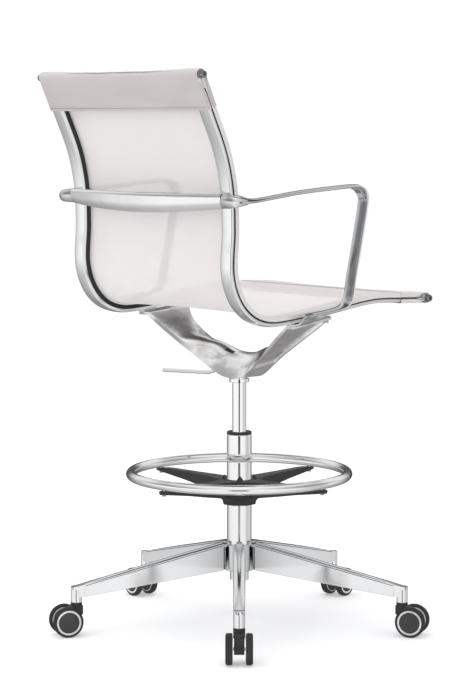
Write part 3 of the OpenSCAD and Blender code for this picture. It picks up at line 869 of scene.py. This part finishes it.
def table_of(points):
    """Smooth function of x through points whose first member is x."""
    line = smooth_line(points, 6)
    columns = range(1, line.shape[1])
    return lambda x: [float(np.interp(x, line[:, 0], line[:, c])) for c in columns]


def make_antler():
    tables = [table_of(t) for t in (REAR_LOW, REAR_HIGH, FRONT_HIGH, FRONT_LOW)]
    crown_at = table_of(CROWN)
    half = 235.0
    xs = [*np.linspace(0, 66, 23), 68, 69.5, 71, 73, *np.linspace(76, 204, 44), 206, 207.5, 209,
          211, *np.linspace(213, half, 8)]
    rings = []
    for x in [-v for v in xs[::-1]] + xs[1:]:
        ax = abs(x)
        rl, ru, fu, fl = (np.array(t(ax)) for t in tables)
        crown = crown_at(ax)[0]
        top = []
        for t in np.linspace(0, 1, 25):
            y, z = ru * (1 - t) + fu * t
            z += crown * (1 - abs(2 * t - 1) ** 2.6)
            if ax > 200:
                z = min(z, rail_under(y) - 5.1)
            top.append([y, z])
        rl[1] = min(rl[1], top[0][1] - 5)
        fl[1] = min(fl[1], top[-1][1] - 5)
        pocket = ease((ax - 66) / 7) * ease((211 - ax) / 7)
        deep = pocket * min(6.0, 0.55 * min(top[0][1] - rl[1], top[-1][1] - fl[1]) + 0.35 * crown)
        bottom = []
        span = rl[0] - fl[0]
        rim = 5.5
        for s in (0, rim, rim + 1.2, rim + 3, *np.linspace(rim + 8, span - rim - 8, 9),
                  span - rim - 3, span - rim - 1.2, span - rim, span):
            f = s / span
            z = fl[1] * (1 - f) + rl[1] * f
            z += deep * ease(min(s - rim, span - rim - s) / 3)
            bottom.append([fl[0] + s, z])
        rear = []
        for t in np.linspace(0, 1, 9)[1:-1]:
            q = rl * (1 - t) + np.array(top[0]) * t
            rear.append([q[0] + 1.5 * math.sin(math.pi * t) * ease((100 - ax) / 60), q[1]])
        front = []
        for t in np.linspace(0, 1, 7)[1:-1]:
            front.append(list(np.array(top[-1]) * (1 - t) + fl * t))
        ring = bottom + rear + top + front
        rings.append([(x, y, z) for y, z in ring])
    obj = piece("underframe_casting", Shape().add(*skin(rings)), CAST_ALUMINIUM, "seat",
                "polished_aluminium", ["antler"], sharp=38, bevel=0.9)
    carve(obj, block((20, -5.5, SOCKET_Z - 8), (64, 5.5, SOCKET_Z + 37)))
    # Dark strip on the top of the saddle
    rings = []
    for x in np.linspace(21, 45, 9):
        rear_edge, front_edge = np.array(tables[1](x)), np.array(tables[2](x))
        ring = []
        for t, lift in ((0.22, -1.5), (0.22, 0.3), (0.30, 0.9), (0.38, 0.3), (0.38, -1.5)):
            y, z = rear_edge * (1 - t) + front_edge * t
            ring.append((x, y, z + crown_at(x)[0] * (1 - abs(2 * t - 1) ** 2.6) + lift))
        rings.append(ring)
    piece("underframe_strip", Shape().add(*skin(rings)), NYLON, "seat", "black_plastic")


def make_collar():
    z0, z1 = box_mm("antler_collar")[0][2], box_mm("antler_collar")[1][2]
    ring = [(CYLINDER_R + 0.1, z0 + 0.6), (CYLINDER_R + 0.7, z0), (19.2, z0), (20, z0 + 0.8),
            (20, z1 - 0.5), (19.5, z1), (CYLINDER_R + 0.1, z1)]
    piece("socket_collar", Shape().add(*turned(ring, 72)), CHROME, "seat",
          "polished_aluminium", ["antler_collar"])


LEVER_LINE = [(-4, 529), (12, 529), (25, 528.8), (36, 523), (50, 517), (62, 513), (86, 506.6),
              (100, 504), (150, 501.5), (200, 499), (238.6, 497.1)]


def make_lever():
    pts = [(x, 0, z) for x, z in LEVER_LINE]
    line = smooth_line(pts, 5)
    ahead = headings(line)
    sides = [np.array([0, 1.0, 0])] * len(line)
    ups = [np.cross(h, (0, 1, 0)) for h in ahead]
    circle = [(3.9 * math.cos(a), 3.9 * math.sin(a)) for a in np.linspace(0, 2 * math.pi, 21)[:-1]]
    shape = Shape().add(*swept(line, sides, ups, [circle] * len(line)))
    tip, way = line[-1], ahead[-1]
    end = [(0, 1.2), (2.2, 1.1), (3.3, 0.6), (3.9, -0.6), (3.9, -3)]
    shape.add(*turned(end, 20, way, tip, closed=False))
    piece("lever_bar", shape, CHROME, "lever", "chrome", ["height_lever"], sharp=60)


# ------------------------------------------------------------------ column and gas lift
def make_column():
    low = box_mm("column_tube")[0][2]
    top = box_mm("column_tube")[1][2]
    bush_top = box_mm("column_bush")[1][2]
    tube = [(5.8, low), (18.4, low), (19, low + 0.8), (19, 111), (COLUMN_R, 165),
            (COLUMN_R, top - 0.8), (COLUMN_R - 0.6, top), (23, top), (23, 330), (16, 330),
            (16, low + 5), (5.8, low + 5)]
    bush = [(CYLINDER_R + 0.1, 330), (22.9, 330), (22.9, top + 0.1), (COLUMN_R - 0.2, top + 0.1),
            (COLUMN_R, top + 0.6), (COLUMN_R, bush_top - 1), (COLUMN_R - 0.8, bush_top),
            (CYLINDER_R + 1, bush_top), (CYLINDER_R + 0.1, bush_top - 0.8)]
    low_c, high_c = box_mm("gas_cylinder")[0][2], box_mm("gas_cylinder")[1][2]
    cyl = [(5.8, low_c), (CYLINDER_R - 0.5, low_c), (CYLINDER_R, low_c + 0.6),
           (CYLINDER_R, high_c - 0.6), (CYLINDER_R - 0.5, high_c), (4.1, high_c),
           (4.1, high_c - 12), (12, high_c - 15), (12, low_c + 6), (5.8, low_c + 6)]
    piece("column_outer_tube", Shape().add(*turned(tube, 96)), CHROME, "base", "chrome",
          ["column_tube"])
    piece("column_guide_bush", Shape().add(*turned(bush, 96)), NYLON, "base", "black_plastic",
          ["column_bush"])
    piece("gas_lift_cylinder", Shape().add(*turned(cyl, 96)), CHROME, "seat", "chrome",
          ["gas_cylinder"])


# ------------------------------------------------------------------ foot ring
RING_Z = 307.7
RING_R, RING_TUBE = 218.0, 9.75
# Turn of the first spoke from +X, in degrees
STAR_TURN = 6.9


def rotated(a):
    """A turn about the column's axis, as a function of a point."""
    c, s = math.cos(a), math.sin(a)
    return lambda v: np.array([c * v[0] - s * v[1], s * v[0] + c * v[1], v[2]])


def make_foot_ring():
    section = [(RING_R + RING_TUBE * math.cos(a), RING_Z + RING_TUBE * math.sin(a))
               for a in np.linspace(0, 2 * math.pi, 41)[:-1]]
    piece("foot_ring_tube", Shape().add(*turned(section, 180)), CHROME, "foot_ring", "chrome",
          ["foot_ring"])
    star = Shape()
    turn = math.radians(STAR_TURN)
    hub = [(28.2, 247), (31, 247), (34, 258), (34, 284), (33, 291), (31, 295), (28.2, 295)]
    star.add(*turned(hub, 72))
    # Eight-sided skirt that flares into the spokes
    skirt = [(31, 246.6), (34.4, 246), (35, 246.8), (35.8, 252), (37.4, 255), (41, 258.6),
             (40.6, 262), (33, 262)]
    star.add(*turned(skirt, 8), move=rotated(turn + math.pi / 8))
    for k in range(4):
        rings = []
        for r in (24, 32, 44, 60, 80, 110, 150, 190, 205, 212, 218, 224, 228, 229):
            half = blend_value(r, (24, 60, 120, 205, 229), (27, 17, 11.5, 8, 7))
            half *= 1 - 0.55 * ease((r - 224) / 6)
            z_top = blend_value(r, (24, 60, 200, 204, 210, 229), (296, 296.5, 299.5, 299, 297.6, 297.6))
            z_low = blend_value(r, (24, 36, 60, 100, 150, 229), (258, 258.5, 263.5, 270, 279, 290.5))
            web = blend_value(r, (24, 60, 200, 229), (5, 4, 3.5, 3.2))
            flange = blend_value(r, (24, 229), (4.5, 3.2))
            ring = [(half, z_top - 1), (half - 1, z_top), (half * 0.25, z_top - 0.8),
                    (-half * 0.25, z_top - 0.8), (-half + 1, z_top), (-half, z_top - 1),
                    (-half, z_top - flange), (-web, z_top - flange - 1.2), (-web * 0.8, z_low + 0.8),
                    (-web * 0.5, z_low), (web * 0.5, z_low), (web * 0.8, z_low + 0.8),
                    (web, z_top - flange - 1.2), (half, z_top - flange)]
            rings.append([(r, y, z) for y, z in ring])
        star.add(*skin(rings), move=rotated(turn + k * math.pi / 2))
        # Raised gusset between two spokes, sloping out from the column
        corner = rotated(turn + k * math.pi / 2 + math.pi / 4)
        gusset = [[(28.4, y, z) for y, z in ((-17, 262), (17, 262), (15.4, 286), (0.8, 306.3),
                                             (-0.8, 306.3), (-15.4, 286))],
                  [(36, y, z) for y, z in ((-17, 262), (17, 262), (15, 287), (0.7, 297.4),
                                           (-0.7, 297.4), (-15, 287))],
                  [(43.6, y, z) for y, z in ((-16.5, 262), (16.5, 262), (14.6, 285), (0.6, 288.4),
                                             (-0.6, 288.4), (-14.6, 285))]]
        star.add(*skin(gusset), move=corner)
    piece("foot_star_frame", star, NYLON, "foot_ring", "black_plastic", ["foot_star"],
          sharp=30, bevel=0.5)


# ------------------------------------------------------------------ base
BASE_TOP, BASE_LOW = 165.0, 111.5
BOSS_R = 11.0
# Where the side panels of an arm begin, and the heights of its edges there and at its end
PANEL_R = 37
ARM_LOW, ARM_END_LOW, ARM_END_TOP = 113.5, 77, 98.5
# Half the width of an arm at its root, and how much of it is lost by the end
ARM_HALF, ARM_TAPER = 13, 2.6


def stem_place(k):
    low, high = box_mm(f"caster_{k}_stem")
    return (low + high) / 2


def make_base():
    # The second shape gathers dark strips that paint shade in the arms' grooves and slots
    shape, shadow_strips = Shape(), Shape()
    barrel = [(19.6, BASE_LOW + 0.8), (20.4, BASE_LOW), (29, BASE_LOW), (30, BASE_LOW + 1),
              (30, BASE_TOP - 2), (29, BASE_TOP - 0.6), (25.6, BASE_TOP + 0.6),
              (25.1, BASE_TOP)]
    shape.add(*turned(barrel, 96))
    reach = float(np.hypot(*stem_place(1)[:2]))
    for k in range(1, 6):
        place = stem_place(k)
        move = rotated(math.atan2(place[1], place[0]))
        end = reach - 0.5

        def top_at(r):
            return BASE_TOP + 1.5 - (BASE_TOP + 1.5 - ARM_END_TOP) * (r - PANEL_R) / (end - PANEL_R)

        def half_at(r):
            return ARM_HALF - ARM_TAPER * (r - PANEL_R) / (end - PANEL_R)

        def low_at(r):
            return ARM_LOW - (ARM_LOW - ARM_END_LOW) * (r - PANEL_R) / (end - 14 - PANEL_R)

        rings = []
        for r in [PANEL_R, 38, *np.linspace(60, end - 20, 12), end - 14]:
            w, zt, zb, wall, plate = half_at(r), top_at(r), low_at(r), 3.4, 5.0
            edge = 0.9 if r > PANEL_R else 0.4
            crown = 2.6 * (1 - ((r - PANEL_R) / (end - 14 - PANEL_R)) ** 4)
            ring = [(w, zb + 0.6), (w, zt - 3.4), (w - 0.5, zt - 2.9), (w - 0.5, zt - 2.2),
                    (w, zt - 1.8), (w, zt - edge), (w - edge, zt), (0.7 * w, zt + 0.5 * crown),
                    (0.4 * w, zt + 0.84 * crown), (0.12 * w, zt + crown)]
            ring += [(-y, z) for y, z in ring[::-1]]
            ring += [(-w + 0.6, zb), (-w + wall, zb), (-w + wall + 0.6, zt - plate),
                     (w - wall - 0.6, zt - plate), (w - wall, zb), (w - 0.6, zb)]
            rings.append([(r, y, z) for y, z in ring])
        shape.add(*skin(rings), move=move)
        # Painted shadow lines: a dark strip laid in the groove under each top edge of the arm
        for side in (1, -1):
            shadow_strip = []
            for r in (37.5, 120, 220, end - 16):
                w, zt = side * half_at(r), top_at(r)
                inner, outer = w - side * 1.0, w - side * 0.2
                shadow_strip.append([(r, inner, zt - 3.3), (r, outer, zt - 3.3), (r, outer, zt - 1.9),
                             (r, inner, zt - 1.9)])
            shadow_strips.add(*skin(shadow_strip), move=move)
        # Painted shade: a dark insert at the root of the side panels, in the slot between barrel and
        # panel
        w = half_at(PANEL_R) - 0.5
        ring = [(35.2, -w), (37.2, -w), (37.2, w), (35.2, w)]
        shadow_strips.add(*skin([[(x, y, z) for x, y in ring]
                         for z in (low_at(PANEL_R) + 1.5, BASE_TOP - 4.2)]), move=move)
        # Top plate from the barrel over the slot to the side panels
        rings = []
        for r in (24, 27, 30, 34, 40):
            w = half_at(PANEL_R) - 0.4
            zt = BASE_TOP + 0.8 if r < 30 else BASE_TOP + 1.2
            zt = min(zt, top_at(max(r, PANEL_R)) - 0.05)
            ring = [(w, zt - 5), (w, zt - 0.9), (w - 0.9, zt), (-w + 0.9, zt), (-w, zt - 0.9),
                    (-w, zt - 5)]
            rings.append([(r, y, z) for y, z in ring])
        shape.add(*skin(rings), move=move)
        # Closing web and end block that carry the boss
        rings = []
        for r in (end - 14.5, end - 8, end, end + 6, end + 9.2, end + BOSS_R):
            w = half_at(min(r, end))
            if r > end:
                w = math.sqrt(max(BOSS_R ** 2 - (r - reach) ** 2, 0.5))
            zt, zb = top_at(min(r, end + 3)), low_at(end - 14) + 0.4
            ring = [(w, zb), (w, zt - 0.9), (w - min(0.9, w / 3), zt), (-w + min(0.9, w / 3), zt),
                    (-w, zt - 0.9), (-w, zb)]
            rings.append([(r, y, z) for y, z in ring])
        shape.add(*skin(rings), move=move)
        boss = [(5.8, 66.6), (6.4, 66), (10.2, 66), (BOSS_R, 66.8), (BOSS_R, 92), (5.8, 92)]
        shape.add(*turned(boss, 48, centre=(reach, 0, 0)), move=move)
    piece("star_base_casting", shape, BASE_ALUMINIUM, "base", "polished_aluminium",
          ["star_base"], sharp=32)
    piece("star_base_shadow_strips", shadow_strips, NYLON, "base", "black_plastic")


# ------------------------------------------------------------------ casters
WHEEL_R, WHEEL_W, WHEEL_IN = 30.0, 14.0, 12.0


def make_caster(k):
    stem = stem_place(k)
    wheel = (box_mm(f"caster_{k}_axle")[0] + box_mm(f"caster_{k}_axle")[1]) / 2
    out = unit([wheel[0] - stem[0], wheel[1] - stem[1], 0])
    side = np.cross(UP, out)
    trail = float(np.linalg.norm(wheel[:2] - stem[:2]))

    def move(v):
        return np.array([stem[0], stem[1], 0]) + v[0] * out + v[1] * side + v[2] * UP

    hood = Shape()
    neck = [(5.6, 46), (11.2, 46), (11.5, 47), (11.5, 64.6), (11.0, 65.5), (5.6, 65.5)]
    hood.add(*turned(neck, 48), move=move)
    outline = [(-11.4, 44), (-11.4, 60), (11.4, 60), (11.4, 58.5), (trail + 5, 53.5),
               (trail + 9, 50), (trail + 14, 43.5), (trail + 16, 37), (trail + 15.6, 31),
               (trail + 13.5, 25.5), (trail + 7, 20.4), (trail - 7, 20.4), (trail - 14, 24.5),
               (2.4, 28.4)]
    rings = []
    for y, grow in ((-9.9, -0.8), (-9.1, 0), (9.1, 0), (9.9, -0.8)):
        mid = np.mean(outline, axis=0)
        ring = []
        for p in outline:
            d = np.array(p) - mid
            q = mid + d * (1 + grow / np.linalg.norm(d))
            ring.append((q[0], y, q[1]))
        rings.append(ring)
    hood.add(*skin(rings), move=move)
    piece(f"caster_{k}_hood_shell", hood, NYLON, f"caster_{k}", "black_plastic",
          [f"caster_{k}_hood"], sharp=40)
    for letter, sign in (("a", 1), ("b", -1)):
        centre = np.array([trail, sign * WHEEL_IN, WHEEL_R])
        axis = np.array([0, sign, 0.0])
        tyre = [(20.5, 0.6), (27.6, 0.6), (29.2, 1.4), (30, 3.2), (30, WHEEL_W - 4),
                (29.3, WHEEL_W - 1.8), (27.6, WHEEL_W - 0.5), (26, WHEEL_W), (25.2, WHEEL_W - 0.2),
                (24.9, WHEEL_W - 1.2), (20.5, WHEEL_W - 1.2)]
        hub = [(3.2, 1), (20.6, 1), (20.6, WHEEL_W - 2.6), (20.2, WHEEL_W - 1.6),
               (19.2, WHEEL_W - 1.2), (0, WHEEL_W - 0.9), (0, WHEEL_W - 1.7), (3.2, WHEEL_W - 1.7)]
        ring = [(20.7, WHEEL_W - 1.4), (20.9, WHEEL_W - 0.7), (21.4, WHEEL_W - 0.4),
                (24.0, WHEEL_W - 0.4), (24.6, WHEEL_W - 0.8), (24.8, WHEEL_W - 1.6),
                (20.7, WHEEL_W - 1.6)]
        strip = [(22.5, -0.1), (24.5, -0.1), (24.5, 0.7), (22.5, 0.7)]
        body = f"caster_{k}_wheel_{letter}"
        made = [("tyre", tyre, TREAD, "wheel_rubber"), ("disc", hub, DISC, "wheel_rubber"),
                ("ring", ring, PALE_RING, "wheel_rubber"),
                ("inner_strip", strip, PALE_RING, "wheel_rubber")]
        for name, profile, material, slot in made:
            shape = Shape().add(*turned(profile, 64, axis, centre, closed=name != "disc"), move=move)
            piece(f"{body}_{name}", shape, material, body, slot, [body] if name == "tyre" else ())


# ------------------------------------------------------------------ kept CAD nodes
def paint_kept_nodes():
    """Procedural finishes on the CAD nodes that stay in view."""
    finish = {
        "column_clip": STEEL, "thrust_bearing": STEEL, "piston_rod": CHROME, "antler_bolts": STEEL,
        "spreader_dowels": STEEL, "armrest_screws": STEEL,
        "lever_pin": STEEL, "valve_button": NYLON, "foot_collet": NYLON,
        "foot_ring_screws": STEEL,
    }
    for k in range(1, 6):
        finish[f"caster_{k}_stem"] = STEEL
        finish[f"caster_{k}_axle"] = STEEL
    for name, material in finish.items():
        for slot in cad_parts[name].material_slots:
            slot.material = material


# ------------------------------------------------------------------ studio
CAMERA_DISTANCE, CAMERA_HEIGHT = 4.6264, 1.0147
CAMERA_AZIMUTH, CAMERA_PITCH, CAMERA_YAW = 228.94, 5.653, -0.093
CAMERA_LENS = 119.37


# What polished metal mirrors, by angle round from the camera (0) to behind the chair (180),
# at five heights: looking down, level (to the right and to the left), a little up, well up
# and near the top
LOW_ENV = [(0, 0.85), (60, 0.80), (98, 0.56), (118, 0.46), (135, 0.36), (150, 0.28), (180, 0.26)]
RIGHT_ENV = [(0, 0.01), (7, 0.02), (12, 0.92), (22, 1.0), (50, 0.95), (68, 0.66), (82, 0.52),
             (95, 0.62), (108, 0.84), (125, 0.58), (142, 0.25), (155, 0.09), (180, 0.07)]
LEFT_ENV = [(0, 0.01), (7, 0.02), (12, 0.92), (22, 1.0), (88, 1.0), (98, 0.93), (108, 0.82),
             (118, 0.58), (130, 0.46), (142, 0.25), (155, 0.09), (180, 0.07)]
RISE_ENV = [(0, 0.90), (25, 0.85), (48, 0.34), (75, 0.25), (100, 0.32), (118, 0.62), (130, 0.80),
            (146, 0.55), (158, 0.14), (180, 0.10)]
HIGH_ENV = [(0, 0.85), (40, 0.62), (78, 0.40), (96, 0.42), (106, 0.72), (120, 0.82), (180, 0.82)]
TOP_ENV = [(0, 0.95), (90, 0.80), (132, 0.56), (152, 0.16), (180, 0.10)]


def make_camera():
    a, p, y = (math.radians(v) for v in (CAMERA_AZIMUTH, CAMERA_PITCH, CAMERA_YAW))
    inward = Vector((-math.sin(a), math.cos(a), 0))
    right = Vector((math.cos(a), math.sin(a), 0))
    ahead = math.sin(y) * right + math.cos(y) * inward
    look = math.cos(p) * ahead - math.sin(p) * Vector(UP)
    data = bpy.data.cameras.new("camera")
    data.lens, data.sensor_width, data.sensor_fit = CAMERA_LENS, 36, "AUTO"
    data.clip_start, data.clip_end = 0.1, 60
    cam = new_object("camera", data)
    cam.location = -inward * CAMERA_DISTANCE + Vector((0, 0, CAMERA_HEIGHT))
    cam.rotation_mode = "QUATERNION"
    cam.rotation_quaternion = look.to_track_quat("-Z", "Y")
    bpy.context.scene.camera = cam


def area_light(name, place, target, size, power):
    data = bpy.data.lights.new(name, "AREA")
    data.shape, data.size, data.size_y = "RECTANGLE", size[0], size[1]
    data.energy = power
    obj = new_object(name, data)
    obj.location = place
    obj.rotation_mode = "QUATERNION"
    obj.rotation_quaternion = (Vector(target) - Vector(place)).to_track_quat("-Z", "Y")
    obj.visible_glossy = False


def make_world():
    """Surroundings that polished metal mirrors, and plain white for all other rays."""
    world = bpy.data.worlds.new("studio")
    bpy.context.scene.world = world
    world.use_nodes = True
    tree = world.node_tree
    back = tree.nodes["Background"]
    direction = add(tree, "ShaderNodeTexCoord")
    turn = add(tree, "ShaderNodeMapping", vector_type="VECTOR")
    a = math.radians(CAMERA_AZIMUTH)
    turn.inputs["Rotation"].default_value = (0, 0, -math.atan2(-math.cos(a), math.sin(a)))
    tree.links.new(direction.outputs["Generated"], turn.inputs["Vector"])
    split = add(tree, "ShaderNodeSeparateXYZ")
    tree.links.new(turn.outputs["Vector"], split.inputs[0])
    angle = add(tree, "ShaderNodeMath", operation="ARCTAN2")
    tree.links.new(split.outputs["Y"], angle.inputs[0])
    tree.links.new(split.outputs["X"], angle.inputs[1])
    spread = add(tree, "ShaderNodeMath", operation="ABSOLUTE")
    tree.links.new(angle.outputs[0], spread.inputs[0])
    round_fac = levels(tree, spread.outputs[0], 0, math.pi, 0, 1)
    low, right, left, rise, high, top = (
        ramp(tree, round_fac, [(angle / 180, grey(v)) for angle, v in env])
        for env in (LOW_ENV, RIGHT_ENV, LEFT_ENV, RISE_ENV, HIGH_ENV, TOP_ENV)
    )
    env = mix_colours(tree, levels(tree, split.outputs["Y"], -0.02, 0.02, 0, 1), left, right)
    # Each band fades in between two heights of the mirrored direction
    for start, full, band in ((-0.12, -0.45, low), (0.04, 0.16, rise), (0.22, 0.45, high),
                              (0.60, 0.72, top)):
        env = mix_colours(tree, levels(tree, split.outputs["Z"], start, full, 0, 1), env, band)
    path = add(tree, "ShaderNodeLightPath")
    final = mix_colours(tree, path.outputs["Is Glossy Ray"], (1, 1, 1, 1), env)
    tree.links.new(final, back.inputs["Color"])
    back.inputs["Strength"].default_value = 1.0


def make_floor():
    floor_mesh = bpy.data.meshes.new("studio_floor")
    floor_mesh.from_pydata([(-40, -40, 0), (40, -40, 0), (40, 40, 0), (-40, 40, 0)], [], [(0, 1, 2, 3)])
    floor = new_object("studio_floor", floor_mesh)
    mat, tree, bsdf = shader("pale_floor", Roughness=0.6)
    bsdf.inputs["Specular IOR Level"].default_value = 0.0
    tone = noise(tree, coords(tree, (1, 1, 1)), 3.0)
    tree.links.new(
        ramp(tree, tone, [(0.0, (0.715, 0.72, 0.735)), (1.0, (0.725, 0.73, 0.745))]),
        bsdf.inputs["Base Color"],
    )
    bsdf.inputs["Emission Color"].default_value = (1, 1, 1, 1)
    bsdf.inputs["Emission Strength"].default_value = 0.31
    floor_mesh.materials.append(mat)
    floor.visible_glossy = False


def make_lamps():
    a = math.radians(CAMERA_AZIMUTH)
    toward = Vector((math.sin(a), -math.cos(a), 0))
    right = Vector((math.cos(a), math.sin(a), 0))
    area_light("overhead", (0.2, 0.2, 3.4), (0, 0, 0.5), (2.6, 2.6), 36)
    area_light("key_left", tuple(toward * 2.2 - right * 2.2 + Vector((0, 0, 2.2))), (0, 0, 0.7),
               (1.6, 2.0), 16)


make_camera()
make_world()
make_floor()
make_lamps()
bpy.context.scene.view_settings.view_transform = "Standard"
make_rails()
make_rods()
make_rod_ends()
make_sling()
top_path, sleeve_half = make_sleeve("top_sleeve_cloth", "top_sleeve", 0, 7, BAND,
                                    "sleeve_fabric", 0.25)
make_hem("top_sleeve", top_path, sleeve_half, BAND, "sleeve_fabric")
make_sleeve("front_sleeve_cloth", "front_sleeve", len(rail_curve) - 1, 8, HEM,
            "sleeve_fabric", 0.15)
make_spreader()
make_armrests()
make_antler()
make_collar()
make_lever()
make_column()
make_foot_ring()
make_base()
for number in range(1, 6):
    make_caster(number)
paint_kept_nodes()
